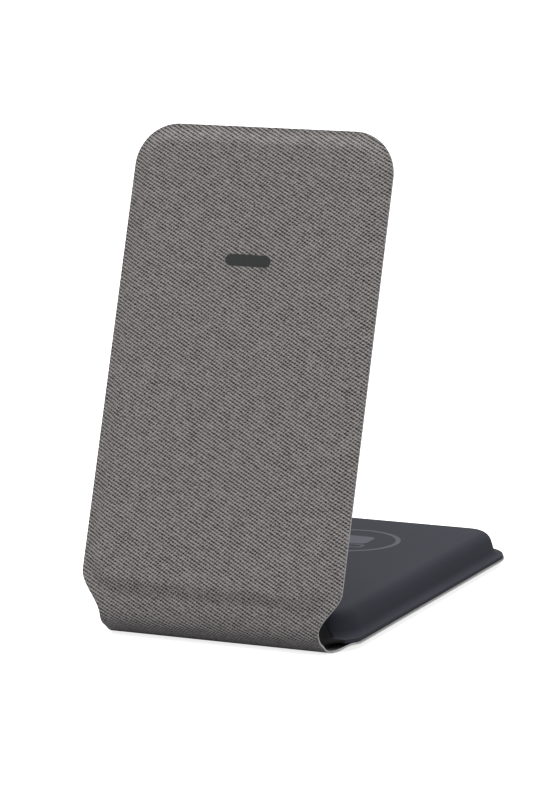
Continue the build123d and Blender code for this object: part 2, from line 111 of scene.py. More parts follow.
# ---- Soft cover ----
# Its wall leans more than the hard one, swells past it at the foot and ends just under its top.
SWELL = 1.3 * MM
SOFT_DRAFT = math.radians(16)
SOFT_TOP_RADIUS = 4.2 * MM
FOOT_RADIUS = 2.0 * MM
CAP_SINK = 0.03 * MM
RIM_SET_BACK = 0.3 * MM
RIM_START = 1.95 * MM
RIM_TURN = 1.0 * MM
OVER_CLOTH = 0.02 * MM
OVER_EDGE = 0.03 * MM
# Steps that round the rim's edge over: a further inset, and a drop below the rim's top.
RIM_EDGE = ((0.0, 0.2 * MM), (0.08 * MM, 0.06 * MM), (0.25 * MM, 0.0))
HOLE_GAP = 0.1 * MM
HOLE_DEPTH = 2.6 * MM
HOLE_SIDES = 48

# ---- Lining and ribbon over the hinges ----
# Between LINING_EDGE and LINING_SHELF the lining climbs from the cloth to its level.
LINING = 0.6 * MM
LINING_LEVEL = 4.9 * MM
LINING_REACH = 5.5 * MM
LINING_EDGE = 33.0 * MM
LINING_SHELF = 29.3 * MM
LINING_TAIL = 6.0 * MM
LINING_SET_BACK = 0.05 * MM
RIBBON = 0.3 * MM
RIBBON_REACH = 6.0 * MM

# ---- Stretches given to bend(), which only bakes the pieces: how far past its axis one starts, and where it ends short of the fold's middle ----
CLOTH_BEND_PAST = 1.0 * MM
CLOTH_BEND_SHORT = 1.0 * MM
INNER_BEND_SHORT = 0.5 * MM

# ---- Fineness of the meshes ----
CURVE_POINTS = 600
COLUMNS = 121
PANEL_ROW = 1.0 * MM
FOLD_ROW = 0.35 * MM
LINING_COLUMNS = 141
LINING_ROWS = 61
RIBBON_COLUMNS = 9
RIBBON_ROW = 0.3 * MM
EDGE_CROWDING = 0.45

# ---- Weave, in cycles per millimetre across and along the cloth ----
TWILL = (0.488, 0.948)
CROSSING = (0.934, -0.855)
CLOSE_ROWS = (0.209, 1.69)
ALONG_TWILL = (0.889, -0.458, 0)
OVER_TWILL = (0.458, 0.889, 0)

# ---- Stage ----
AMBIENT = 0.42
FLOOR_GLOW = 0.8
FLOOR_BOUNCE = (176, 177, 180)
FLOOR_HALF = 6.0
KEY_LIGHT = ((0.55, -1.4, 1.75), (0, 0, 0.06), (1.1, 1.1), 23.0)
TOP_LIGHT = ((-0.4, 0.5, 1.9), (0, 0, 0.05), (1.6, 1.6), 24.0)
CAMERA_EYE = (0.42820, -1.00897, 0.25503)
CAMERA_AIM = (0.00548, -0.03878, 0.06587)
CAMERA_LENS = 169.3


# ---- Panels, curves and strips ----

class PanelFrame:
    """Turns a panel's x, s and t into places in the shared frame. x stays as it is."""

    def __init__(self, axis_point, up, front):
        self.up = np.array(up)
        self.front = np.array(front)
        self.origin = np.array(axis_point) - self.front * AXIS_HEIGHT

    def place(self, x, s, t):
        x, s, t = np.broadcast_arrays(np.asarray(x, float), s, t)
        point = self.origin + s[..., None] * self.up + t[..., None] * self.front
        point[..., 0] += x
        return point


front = mount_axis["phone_face"].normalized()
BASE = PanelFrame(joint_at["base_fold"], (0, 1, 0), (0, 0, 1))
UPRIGHT = PanelFrame(joint_at["upright_fold"], (0, -front.z, front.y), tuple(front))


def smooth(value):
    """A soft step from 0 to 1."""
    value = np.clip(value, 0, 1)
    return value * value * (3 - 2 * value)


class SpineCurve:
    """Arc-length table of a smooth curve round the fold, at one height in both panels."""

    def __init__(self, start, reach_base, reach_upright, height):
        ends = [
            BASE.place(0, start, height),
            BASE.place(0, start - reach_base, height),
            UPRIGHT.place(0, start - reach_upright, height),
            UPRIGHT.place(0, start, height),
        ]
        u = np.linspace(0, 1, CURVE_POINTS)[:, None]
        weights = ((1 - u) ** 3, 3 * u * (1 - u) ** 2, 3 * u * u * (1 - u), u ** 3)
        self.points = sum(weight * end for weight, end in zip(weights, ends))
        steps = np.linalg.norm(np.diff(self.points, axis=0), axis=1)
        self.along = np.concatenate([[0], np.cumsum(steps)])
        self.length = self.along[-1]
        self.start = start
        self.height = height

    def point_at(self, distance):
        """Point at a distance along the curve, held at its two ends."""
        return np.stack([np.interp(distance, self.along, self.points[:, k]) for k in range(3)], -1)

    def at(self, distance):
        """Point and inward normal at a distance along the curve."""
        distance = np.asarray(distance, float)
        point = self.point_at(distance)
        step = self.length / 500
        run = self.point_at(distance + step) - self.point_at(distance - step)
        run /= np.linalg.norm(run, axis=-1, keepdims=True)
        normal = np.stack([np.zeros_like(run[..., 0]), run[..., 2], -run[..., 1]], -1)
        return point, normal


class Strip:
    """A long soft strip: base panel, round the fold, upright panel.

    v is the distance along it, zero at the middle of the fold and positive on the upright."""

    def __init__(self, curve):
        self.curve = curve
        self.half = curve.length / 2

    def panel_s(self, v):
        """Distances from the two fold axes; negative inside the fold."""
        return -v - self.half + self.curve.start, v - self.half + self.curve.start

    def place(self, x, v, t):
        x, v, t = np.broadcast_arrays(np.asarray(x, float), v, t)
        s_base, s_upright = self.panel_s(v)
        point, normal = self.curve.at(np.clip(v + self.half, 0, self.curve.length))
        folded = point + normal * t[..., None]
        folded[..., 0] += x
        on_base = (v < -self.half)[..., None]
        on_upright = (v > self.half)[..., None]
        flat_base = BASE.place(x, s_base, self.curve.height + t)
        flat_upright = UPRIGHT.place(x, s_upright, self.curve.height + t)
        return np.where(on_base, flat_base, np.where(on_upright, flat_upright, folded))


cloth_strip = Strip(SpineCurve(0.0, CURL_BASE, CURL_UPRIGHT, 0.0))
over_hinges = Strip(SpineCurve(PAD_START, LINING_REACH, LINING_REACH, LINING_LEVEL))


def cloth_half_width(v):
    """Half the cloth's width: full on the panels, narrow round the fold, rounded at far corners."""
    s_base, s_upright = cloth_strip.panel_s(v)
    swell = np.maximum(
        smooth((s_base - NECK_BASE[0]) / (NECK_BASE[1] - NECK_BASE[0])),
        smooth((s_upright - NECK_UPRIGHT[0]) / (NECK_UPRIGHT[1] - NECK_UPRIGHT[0])),
    )
    half = SPINE_HALF + (HALF_WIDTH - SPINE_HALF) * swell
    into_corner = np.clip(np.maximum(s_base, s_upright) - (PANEL_LENGTH - CORNER_RADIUS), 0, None)
    cut = CORNER_RADIUS - np.sqrt(np.clip(CORNER_RADIUS ** 2 - into_corner ** 2, 0, None))
    return half - cut


def raised_back(x, s, near, near_width):
    """How far the cloth stands out over the tray: a soft-shouldered plateau."""
    low, high = near, PANEL_LENGTH - FOOT_FAR
    side = HALF_WIDTH - FOOT_SIDE
    middle = (low + high) / 2
    reach_x = np.abs(x) - (side - FOOT_CORNER)
    reach_s = np.abs(s - middle) - ((high - low) / 2 - FOOT_CORNER)
    outside = np.hypot(np.clip(reach_x, 0, None), np.clip(reach_s, 0, None))
    inside = np.minimum(np.maximum(reach_x, reach_s), 0)
    depth = FOOT_CORNER - outside - inside
    return DROP * np.minimum(smooth(depth / SHOULDER), smooth((s - near) / near_width))


def cloth_height(x, v):
    """Outer face of the cloth in t, below the rim where the back is raised."""
    s_base, s_upright = cloth_strip.panel_s(v)
    under_base = raised_back(x, s_base, FOOT_NEAR_BASE, BASE_BELLY)
    behind_upright = raised_back(x, s_upright, FOOT_NEAR_UPRIGHT, SHOULDER)
    return -np.maximum(under_base, behind_upright)


# ---- Meshes ----

def finish_mesh(name, points, faces, uvs=None, materials=(), face_materials=None, sharp=38):
    """A closed mesh object at the origin, facing outwards, with smooth shading."""
    mesh = bpy.data.meshes.new(name)
    mesh.from_pydata([tuple(point) for point in points], [], faces)
    for material in materials:
        mesh.materials.append(material)
    if face_materials is not None:
        mesh.polygons.foreach_set("material_index", np.asarray(face_materials, np.int32))
    if uvs is not None:
        layer = mesh.uv_layers.new(name="flat")
        corner_vertex = np.empty(len(mesh.loops), np.int32)
        mesh.loops.foreach_get("vertex_index", corner_vertex)
        layer.data.foreach_set("uv", np.asarray(uvs, np.float32)[corner_vertex].ravel())
    work = bmesh.new()
    work.from_mesh(mesh)
    bmesh.ops.recalc_face_normals(work, faces=work.faces)
    work.to_mesh(mesh)
    work.free()
    mesh.shade_smooth()
    mesh.set_sharp_from_angle(angle=math.radians(sharp))
    piece = bpy.data.objects.new(name, mesh)
    bpy.context.scene.collection.objects.link(piece)
    return piece


def closed_sheet(name, outer, inner, flat, materials, cut_ends):
    """A thin closed sheet from two grids of points. Cut edges take the second material.

    cut_ends says whether the first and the last row are cut edges or seams."""
    rows, columns = outer.shape[:2]
    count = rows * columns
    index = np.arange(count).reshape(rows, columns)
    corners = [index[:-1, :-1], index[:-1, 1:], index[1:, 1:], index[1:, :-1]]
    face = np.stack([corner.ravel() for corner in corners], 1)
    faces = face.tolist() + (face[:, ::-1] + count).tolist()
    marks = [0] * len(faces)
    around = np.concatenate([index[0, :-1], index[:-1, -1], index[-1, :0:-1], index[:0:-1, 0]])
    for near, far in zip(around, np.roll(around, -1)):
        faces.append([int(far), int(near), int(near + count), int(far + count)])
        at_end = near // columns == far // columns
        is_cut = not at_end or cut_ends[0 if near < columns else 1]
        marks.append(1 if is_cut and len(materials) > 1 else 0)
    points = np.concatenate([outer.reshape(-1, 3), inner.reshape(-1, 3)])
    uvs = np.concatenate([flat.reshape(-1, 2)] * 2)
    return finish_mesh(name, points, faces, uvs, materials, marks)


def across(columns=COLUMNS):
    """Positions from -1 to 1, closer together near the edges."""
    u = np.linspace(-1, 1, columns)
    return (1 - EDGE_CROWDING) * u + EDGE_CROWDING * np.sin(u * math.pi / 2)


def corner_rows(start_s, step):
    """Rows in s from a seam to the far edge, following the corner's arc at its end."""
    straight_end = PANEL_LENGTH - CORNER_RADIUS
    count = int(round((straight_end - start_s) / step))
    straight = np.linspace(start_s, straight_end, count, endpoint=False)
    turn = np.linspace(0, math.pi / 2, 30)
    return np.concatenate([straight, straight_end + CORNER_RADIUS * np.sin(turn)])


def cloth_thickness(x, v):
    """The cloth thins towards its cut edge, where the cover wraps over it."""
    s_base, s_upright = cloth_strip.panel_s(v)
    from_end = PANEL_LENGTH - np.maximum(s_base, s_upright)
    from_edge = np.minimum(cloth_half_width(v) - np.abs(x), from_end)
    return EDGE_CLOTH + (CLOTH - EDGE_CLOTH) * smooth(from_edge / EDGE_TAPER)


def cloth_piece(name, v, cut_ends):
    """The woven cloth over the rows v, with its true thickness."""
    v = np.asarray(v)[:, None]
    x = across()[None, :] * cloth_half_width(v)
    v = np.broadcast_to(v, x.shape)
    height = cloth_height(x, v)
    outer = cloth_strip.place(x, v, height)
    inner = cloth_strip.place(x, v, height + cloth_thickness(x, v))
    flat = np.stack([x, v], -1)
    return closed_sheet(name, outer, inner, flat, (woven_cloth, cut_edge), cut_ends)


# ---- Materials ----

def nodes_of(material):
    """The nodes and the links of a material."""
    return material.node_tree.nodes, material.node_tree.links


def new_material(name, rough, metal=0.0, coat=0.0, sheen=0.0, specular=0.5):
    """A surface with one principled shader and its constants set."""
    material = bpy.data.materials.new(name)
    material.use_nodes = True
    shader = material.node_tree.nodes["Principled BSDF"]
    shader.inputs["Roughness"].default_value = rough
    shader.inputs["Metallic"].default_value = metal
    shader.inputs["Coat Weight"].default_value = coat
    shader.inputs["Sheen Weight"].default_value = sheen
    shader.inputs["Specular IOR Level"].default_value = specular
    return material, shader


def linear(colour):
    """An sRGB colour of 0 to 255 as linear RGBA."""
    parts = [c / 255 for c in colour]
    return [c / 12.92 if c <= 0.04045 else ((c + 0.055) / 1.055) ** 2.4 for c in parts] + [1.0]


def group_with(name, inputs, outputs):
    """An empty shader node group with its named sockets."""
    tree = bpy.data.node_groups.new(name, "ShaderNodeTree")
    for socket, kind in inputs:
        tree.interface.new_socket(socket, in_out="INPUT", socket_type=kind)
    for socket, kind in outputs:
        tree.interface.new_socket(socket, in_out="OUTPUT", socket_type=kind)
    start = tree.nodes.new("NodeGroupInput")
    end = tree.nodes.new("NodeGroupOutput")
    return tree, start, end


class Wires:
    """Short helpers that add nodes to one tree. Each returns the new node's output."""

    def __init__(self, tree):
        self.nodes = tree.nodes
        self.links = tree.links

    def put(self, socket, value):
        """Links or sets an input, whichever the value needs."""
        if isinstance(value, bpy.types.NodeSocket):
            self.links.new(value, socket)
        else:
            socket.default_value = value

    def math(self, operation, first, second=0.0, third=None):
        node = self.nodes.new("ShaderNodeMath")
        node.operation = operation
        self.put(node.inputs[0], first)
        self.put(node.inputs[1], second)
        if third is not None:
            self.put(node.inputs[2], third)
        return node.outputs[0]

    def vector(self, operation, first, second):
        node = self.nodes.new("ShaderNodeVectorMath")
        node.operation = operation
        self.put(node.inputs[0], first)
        self.put(node.inputs[1], second)
        return node.outputs["Value" if operation == "DOT_PRODUCT" else "Vector"]

    def noise(self, place, scale, detail=2.0, roughness=0.5):
        node = self.nodes.new("ShaderNodeTexNoise")
        self.put(node.inputs["Vector"], place)
        node.inputs["Scale"].default_value = scale
        node.inputs["Detail"].default_value = detail
        node.inputs["Roughness"].default_value = roughness
        return node.outputs["Fac"]

    def shift(self, value, noise, strength):
        """Moves a value up and down by a noise, and keeps its mean."""
        return self.math("MULTIPLY_ADD", self.math("SUBTRACT", noise, 0.5), strength, value)

    def mix(self, share, first, second):
        node = self.nodes.new("ShaderNodeMix")
        node.data_type = "RGBA"
        self.put(node.inputs[0], share)
        self.put(node.inputs[6], first)
        self.put(node.inputs[7], second)
        return node.outputs[2]

    def range(self, value, low, high, to_low, to_high):
        node = self.nodes.new("ShaderNodeMapRange")
        self.put(node.inputs["Value"], value)
        node.inputs["From Min"].default_value = low
        node.inputs["From Max"].default_value = high
        node.inputs["To Min"].default_value = to_low
        node.inputs["To Max"].default_value = to_high
        return node.outputs["Result"]


def row_wave(wire, place, cycles, bend_scale=0.0, bend_strength=0.0):
    """A wave in slanting rows. A noise of bend_scale bends the rows."""
    turn = 2 * math.pi
    phase = wire.vector("DOT_PRODUCT", place, (cycles[0] * turn, cycles[1] * turn, 0))
    if bend_strength:
        phase = wire.math("MULTIPLY_ADD", wire.noise(place, bend_scale), bend_strength, phase)
    return wire.math("SINE", phase)


def broken_rows(wire, place):
    """The twill's rows with weaker rows across them, broken into dashes."""
    twill = row_wave(wire, place, TWILL, 0.55, 2.6)
    crossing = row_wave(wire, place, CROSSING, 0.9, 3.2)
    rows = wire.math("MULTIPLY_ADD", crossing, 0.5, twill)
    rows = wire.math("MULTIPLY_ADD", row_wave(wire, place, CLOSE_ROWS), 0.14, rows)
    breaks = wire.range(wire.noise(place, 1.7, 2.0, 0.6), 0.36, 0.64, 0.1, 1.3)
    return wire.math("MULTIPLY", rows, breaks)


def twill_streaks(wire, place):
    """A noise drawn out along the twill's rows."""
    slant = wire.nodes.new("ShaderNodeCombineXYZ")
    along = wire.vector("DOT_PRODUCT", place, ALONG_TWILL)
    wire.put(slant.inputs[0], wire.math("MULTIPLY", along, 0.22))
    wire.put(slant.inputs[1], wire.vector("DOT_PRODUCT", place, OVER_TWILL))
    return wire.noise(slant.outputs[0], 1.0, 2.0, 0.6)


def weave_group():
    """Dark dashes in slanting rows, with mixed-yarn patches. Place is the flat cloth in millimetres."""
    tree, start, end = group_with(
        "mixed weave",
        [("Place", "NodeSocketVector"), ("Light", "NodeSocketColor"), ("Dark", "NodeSocketColor")],
        [("Color", "NodeSocketColor"), ("Height", "NodeSocketFloat"), ("Roughness", "NodeSocketFloat")],
    )
    wire = Wires(tree)
    place = start.outputs["Place"]
    rows = broken_rows(wire, place)
    yarn = wire.noise(place, 1.15, 3.0, 0.62)
    patch = wire.noise(place, 0.24)
    fibre = wire.noise(place, 4.2, 2.0, 0.6)
    tone = wire.math("MULTIPLY_ADD", rows, 0.62, 0.5)
    tone = wire.shift(tone, yarn, 0.7)
    tone = wire.shift(tone, twill_streaks(wire, place), 0.5)
    tone = wire.shift(tone, patch, 0.25)
    tone = wire.shift(tone, fibre, 2.2)
    tone = wire.range(tone, 0.0, 1.0, 0.0, 1.0)
    wire.put(end.inputs["Color"], wire.mix(tone, start.outputs["Dark"], start.outputs["Light"]))
    wire.put(end.inputs["Height"], wire.math("MULTIPLY_ADD", fibre, 0.5, rows))
    wire.put(end.inputs["Roughness"], wire.range(yarn, 0.3, 0.7, 0.78, 0.94))
    return tree


def grain_group():
    """Fine grain and broad mottling for moulded and coated surfaces, in millimetres."""
    tree, start, end = group_with(
        "fine grain",
        [
            ("Place", "NodeSocketVector"),
            ("Base", "NodeSocketColor"),
            ("Tint", "NodeSocketColor"),
            ("Roughness", "NodeSocketFloat"),
        ],
        [("Color", "NodeSocketColor"), ("Height", "NodeSocketFloat"), ("Roughness", "NodeSocketFloat")],
    )
    wire = Wires(tree)
    place = start.outputs["Place"]
    broad = wire.noise(place, 0.045, 3.0)
    fine = wire.noise(place, 2.4, 3.0, 0.6)
    share = wire.range(wire.shift(broad, fine, 0.9), 0.25, 0.75, 0.0, 1.0)
    wire.put(end.inputs["Color"], wire.mix(share, start.outputs["Base"], start.outputs["Tint"]))
    wire.put(end.inputs["Height"], fine)
    wire.put(end.inputs["Roughness"], wire.shift(start.outputs["Roughness"], broad, 0.16))
    return tree


WEAVE = weave_group()
GRAIN = grain_group()


def in_millimetres(wire, source):
    return wire.vector("MULTIPLY", source, (1000.0, 1000.0, 1000.0))


def add_bump(material, shader, height, strength, depth):
    nodes, links = nodes_of(material)
    bump = nodes.new("ShaderNodeBump")
    bump.inputs["Strength"].default_value = strength
    bump.inputs["Distance"].default_value = depth
    links.new(height, bump.inputs["Height"])
    links.new(bump.outputs["Normal"], shader.inputs["Normal"])


def woven_material(name, light, dark):
    """Woven cloth in two yarn colours, laid out on the flat cloth."""
    material, shader = new_material(name, 0.9, sheen=0.12, specular=0.25)
    nodes, links = nodes_of(material)
    wire = Wires(material.node_tree)
    uv = nodes.new("ShaderNodeUVMap")
    uv.uv_map = "flat"
    weave = nodes.new("ShaderNodeGroup")
    weave.node_tree = WEAVE
    links.new(in_millimetres(wire, uv.outputs["UV"]), weave.inputs["Place"])
    weave.inputs["Light"].default_value = linear(light)
    weave.inputs["Dark"].default_value = linear(dark)
    links.new(weave.outputs["Color"], shader.inputs["Base Color"])
    links.new(weave.outputs["Roughness"], shader.inputs["Roughness"])
    add_bump(material, shader, weave.outputs["Height"], 0.55, 0.07 * MM)
    return material


def grained_material(name, base, tint, rough, metal=0.0, bump=0.03, coat=0.0, specular=0.5):
    """A solid colour with fine grain, from object coordinates."""
    material, shader = new_material(name, rough, metal, coat, specular=specular)
    nodes, links = nodes_of(material)
    wire = Wires(material.node_tree)
    place = nodes.new("ShaderNodeTexCoord").outputs["Object"]
    grain = nodes.new("ShaderNodeGroup")
    grain.node_tree = GRAIN
    links.new(in_millimetres(wire, place), grain.inputs["Place"])
    grain.inputs["Base"].default_value = linear(base)
    grain.inputs["Tint"].default_value = linear(tint)
    grain.inputs["Roughness"].default_value = rough
    links.new(grain.outputs["Color"], shader.inputs["Base Color"])
    links.new(grain.outputs["Roughness"], shader.inputs["Roughness"])
    if bump:
        add_bump(material, shader, grain.outputs["Height"], 0.35, bump * MM)
    return material


woven_cloth = woven_material("woven cloth", (168, 162, 160), (28, 26, 26))
cut_edge = grained_material("cut cloth edge", (176, 175, 173), (212, 210, 207), 0.9, bump=0.05)
soft_cover = grained_material("soft cover", (48, 49, 58), (54, 55, 64), 0.62, bump=0.012, specular=0.22)
# The fold lining is dark in itself, and its tone is set darker still as painted shade of the fold's curl.
lining_tone_and_painted_shade = grained_material("fold lining with painted shade", (20, 20, 22), (27, 27, 29), 0.8, bump=0.03, specular=0.2)
shell_plastic = grained_material("shell plastic", (40, 41, 44), (50, 51, 55), 0.5)
foam_grey = grained_material("closed foam", (70, 70, 74), (96, 96, 100), 0.95, bump=0.08)
board_green = grained_material("circuit board", (18, 66, 44), (26, 84, 56), 0.4)
component_black = grained_material("component black", (24, 24, 26), (38, 38, 41), 0.45)
screw_steel = grained_material("screw steel", (150, 150, 154), (182, 182, 186), 0.3, 1.0)
coil_copper = grained_material("wound copper", (170, 96, 52), (206, 124, 70), 0.34, 1.0)
ferrite_grey = grained_material("ferrite", (44, 42, 44), (62, 60, 62), 0.7)
holder_plastic = grained_material("holder plastic", (196, 196, 192), (214, 214, 210), 0.55)
hinge_steel = grained_material("hinge steel", (92, 93, 97), (122, 123, 127), 0.36, 1.0)
print_ink = grained_material("printed mark", (76, 77, 87), (83, 84, 94), 0.55, bump=0.008)
magnet_nickel = grained_material("magnet nickel", (168, 168, 166), (196, 196, 194), 0.24, 1.0)
socket_steel = grained_material("socket steel", (138, 140, 144), (172, 174, 178), 0.28, 1.0)
tongue_plastic = grained_material("tongue plastic", (20, 20, 22), (34, 34, 36), 0.42)
bezel_plastic = grained_material("bezel plastic", (34, 35, 38), (44, 45, 49), 0.4)
light_pipe = grained_material("light pipe", (196, 204, 208), (222, 228, 232), 0.22, bump=0.0)
ribbon_amber = grained_material("ribbon cable", (70, 44, 22), (96, 60, 30), 0.4)
badge_dark = grained_material("badge", (40, 41, 41), (50, 51, 51), 0.5)

# The CAD cloth is hidden under the soft cloth, so its own paint is never seen.
SLOT_MATERIALS = {
    "woven_cloth": shell_plastic,
    "soft_cover": soft_cover,
    "shell_plastic": shell_plastic,
    "foam": foam_grey,
    "board": board_green,
    "component_black": component_black,
    "screw_steel": screw_steel,
    "coil_copper": coil_copper,
    "ferrite": ferrite_grey,
    "holder_plastic": holder_plastic,
    "hinge_steel": hinge_steel,
    "print_ink": print_ink,
    "magnet_nickel": magnet_nickel,
    "socket_steel": socket_steel,
    "tongue_plastic": tongue_plastic,
    "bezel_plastic": bezel_plastic,
    "light_pipe": light_pipe,
    "ribbon": ribbon_amber,
    "badge": badge_dark,
}


# ---- Dark covers ----

def arc(centre_x, centre_s, radius, start, stop, count):
    """Points on an arc, with angles in degrees from +x towards +s."""
    angles = np.radians(np.linspace(start, stop, count))
    return np.stack([centre_x + radius * np.cos(angles), centre_s + radius * np.sin(angles)], -1)


def mirrored(right_half):
    """A closed outline from its right half, which runs from the near middle to the far middle."""
    left = right_half[-2:0:-1].copy()
    left[:, 0] *= -1
    return np.concatenate([right_half, left])


def line(start, stop, count):
    """Evenly spaced points on a straight line."""
    return np.linspace(start, stop, count)


def pad_outline(inset):
    """The pad's outline, drawn in by inset."""
    half, near, far = PAD_HALF - inset, PAD_START + inset, PAD_END - inset
    near_r, far_r = PAD_NEAR_RADIUS - inset, PAD_FAR_RADIUS - inset
    right = [
        line((0, near), (half - near_r, near), 24)[:-1],
        arc(half - near_r, near + near_r, near_r, -90, 0, 25)[:-1],
        line((half, near + near_r), (half, far - far_r), 60)[:-1],
        arc(half - far_r, far - far_r, far_r, 0, 90, 25)[:-1],
        line((half - far_r, far), (0, far), 24),
    ]
    return mirrored(np.concatenate(right))


def rim_outline(inset, neck):
    """The rim's outline, drawn in from the cloth's edge, with its neck at the fold."""
    half, far = HALF_WIDTH - inset, PANEL_LENGTH - inset
    far_r = CORNER_RADIUS - inset
    neck_s = np.linspace(RIM_START, neck[1] + RIM_TURN, 25)
    swell = smooth((neck_s - neck[0]) / (neck[1] - neck[0]))
    neck_x = SPINE_HALF + (HALF_WIDTH - SPINE_HALF) * swell - inset
    right = [
        line((0, RIM_START), (neck_x[0], RIM_START), 24)[:-1],
        np.stack([neck_x, neck_s], -1)[:-1],
        line((half, neck_s[-1]), (half, far - far_r), 60)[:-1],
        arc(half - far_r, far - far_r, far_r, 0, 90, 25)[:-1],
        line((half - far_r, far), (0, far), 24),
    ]
    return mirrored(np.concatenate(right))


def wall_profile(foot_inset, foot, top, radius, draft):
    """(inset, t) steps up a drafted wall and over its soft edge."""
    lean = math.tan(draft)
    centre_t = top - radius
    turn = np.linspace(draft, math.pi / 2, 9)
    wall_t = centre_t + radius * math.sin(draft)
    centre_in = foot_inset + (wall_t - foot) * lean + radius * math.cos(draft)
    rise = np.linspace(foot, wall_t, 5)[:-1]
    wall = [(foot_inset + (t - foot) * lean, t) for t in rise]
    over = [(centre_in - radius * math.cos(a), centre_t + radius * math.sin(a)) for a in turn]
    return wall + over


def foot_profile(foot_inset, foot, radius):
    """(inset, t) steps of the hollow blend from the rim up to the foot of the soft wall."""
    turn = np.linspace(0, math.pi / 2 - SOFT_DRAFT, 8)[:-1]
    centre_in = foot_inset - radius * math.cos(SOFT_DRAFT)
    return [(centre_in + radius * math.sin(a), foot + radius * (1 - math.cos(a))) for a in turn]


def cover_loops(neck):
    """Outlines of the cover from its inner face, round the rim, to its outer face."""
    inner = wall_profile(COVER, CLOTH, PAD_HEIGHT - COVER, TOP_RADIUS - COVER, WALL_DRAFT)
    wall_foot = RIM_TOP + FOOT_RADIUS * (1 - math.sin(SOFT_DRAFT))
    outer = foot_profile(-SWELL, RIM_TOP, FOOT_RADIUS)
    outer += wall_profile(-SWELL, wall_foot, PAD_HEIGHT - CAP_SINK, SOFT_TOP_RADIUS, SOFT_DRAFT)
    loops = [(pad_outline(inset), t) for inset, t in reversed(inner)]
    loops.append((rim_outline(RIM_SET_BACK + EDGE_TAPER, neck), CLOTH + OVER_CLOTH))
    loops.append((rim_outline(RIM_SET_BACK, neck), EDGE_CLOTH + OVER_EDGE))
    loops += [(rim_outline(RIM_SET_BACK + inset, neck), RIM_TOP - drop) for inset, drop in RIM_EDGE]
    loops += [(pad_outline(inset), t) for inset, t in outer]
    return loops


def cover_piece(name, panel, neck):
    """The soft dark cover over one panel, with its true skin."""
    rings = [panel.place(outline[:, 0], outline[:, 1], t) for outline, t in cover_loops(neck)]
    count = len(rings[0])
    faces = [list(range(count))[::-1]]
    for ring in range(len(rings) - 1):
        low, high = ring * count, (ring + 1) * count
        for k in range(count):
            after = (k + 1) % count
            faces.append([low + k, low + after, high + after, high + k])
    last = (len(rings) - 1) * count
    faces.append([last + k for k in range(count)])
    return finish_mesh(name, np.concatenate(rings), faces, materials=(soft_cover,), sharp=50)


def hole_cutter(name, node):
    """A prism along x that follows a CAD piece's rounded outline with a small gap."""
    low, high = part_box(node)
    middle_y, middle_z = (low.y + high.y) / 2, (low.z + high.z) / 2
    radius = (high.z - low.z) / 2 + HOLE_GAP
    reach = max(0.0, (high.y - low.y) / 2 + HOLE_GAP - radius)
    sides = HOLE_SIDES
    outline = []
    for step in range(sides):
        angle = 2 * math.pi * (step + 0.5) / sides
        shift = reach if math.cos(angle) > 0 else -reach
        outline.append((middle_y + shift + radius * math.cos(angle), middle_z + radius * math.sin(angle)))
    near_x, far_x = -HALF_WIDTH, low.x + HOLE_DEPTH
    points = [(x, y, z) for x in (near_x, far_x) for y, z in outline]
    faces = [list(range(sides)), list(range(sides, 2 * sides))[::-1]]
    for k in range(sides):
        after = (k + 1) % sides
        faces.append([k, after, after + sides, k + sides])
    return finish_mesh(name, points, faces)


def cut_holes(piece, cutters):
    """Cuts each hole exactly and keeps the result as a plain mesh."""
    for cutter in cutters:
        modifier = piece.modifiers.new("hole", "BOOLEAN")
        modifier.operation = "DIFFERENCE"
        modifier.solver = "EXACT"
        modifier.object = cutter
    evaluated = piece.evaluated_get(bpy.context.evaluated_depsgraph_get())
    mesh = bpy.data.meshes.new_from_object(evaluated)
    piece.modifiers.clear()
    piece.data = mesh
    for cutter in cutters:
        bpy.data.objects.remove(cutter)


# ---- Soft pieces ----

def rows_between(start, stop, step):
    """Rows from start to stop, about one step apart."""
    return np.linspace(start, stop, int(round(abs(stop - start) / step)) + 1)


def pad_near_s(x):
    """Where the pad's near wall stands at x."""
    into = np.clip(np.abs(x) - (PAD_HALF - PAD_NEAR_RADIUS), 0, PAD_NEAR_RADIUS)
    return PAD_START + PAD_NEAR_RADIUS - np.sqrt(PAD_NEAR_RADIUS ** 2 - into ** 2)


def lining_point(x_share, share, under):
    """A point of the lining: it hugs the cloth at its edges and clears the hinges between."""
    side = 2 * share - 1
    low_v = side * (cloth_strip.half + LINING_TAIL)
    x = x_share * (cloth_half_width(low_v) - RIM_SET_BACK - LINING_SET_BACK)
    tail = np.minimum(pad_near_s(x), LINING_TAIL) - PAD_START - SWELL
    low = cloth_strip.place(x, low_v, RIM_TOP - CAP_SINK - under)
    wall_lean = (LINING_LEVEL - RIM_TOP) * math.tan(WALL_DRAFT)
    high_v = side * (over_hinges.half + tail + wall_lean + COVER / 2)
    high = over_hinges.place(x, high_v, -under)
    lift = smooth((LINING_EDGE - np.abs(x)) / (LINING_EDGE - LINING_SHELF))[..., None]
    return low * (1 - lift) + high * lift, x, low_v


def lining_piece(name, start, stop):
    """One half of the lining, and its flat length averaged across it."""
    share = np.linspace(start, stop, LINING_ROWS)[:, None]
    x_share = across(LINING_COLUMNS)[None, :]
    outer, x, v = lining_point(x_share, share, LINING)
    inner, _, _ = lining_point(x_share, share, 0.0)
    flat = np.stack(np.broadcast_arrays(x, v), -1)
    length = np.linalg.norm(np.diff(outer, axis=0), axis=-1).sum(axis=0).mean()
    return closed_sheet(name, outer, inner, flat, (lining_tone_and_painted_shade,), (False, False)), length


def bend(piece, strip, start, stop):
    """Bakes a soft piece's placement into its mesh. It finds the two ends of a stretch of its strip, but nothing
    bends the piece.
    """
    start_at = strip.place(0.0, start, 0.0)
    stop_at = strip.place(0.0, stop, 0.0)
    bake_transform(piece)


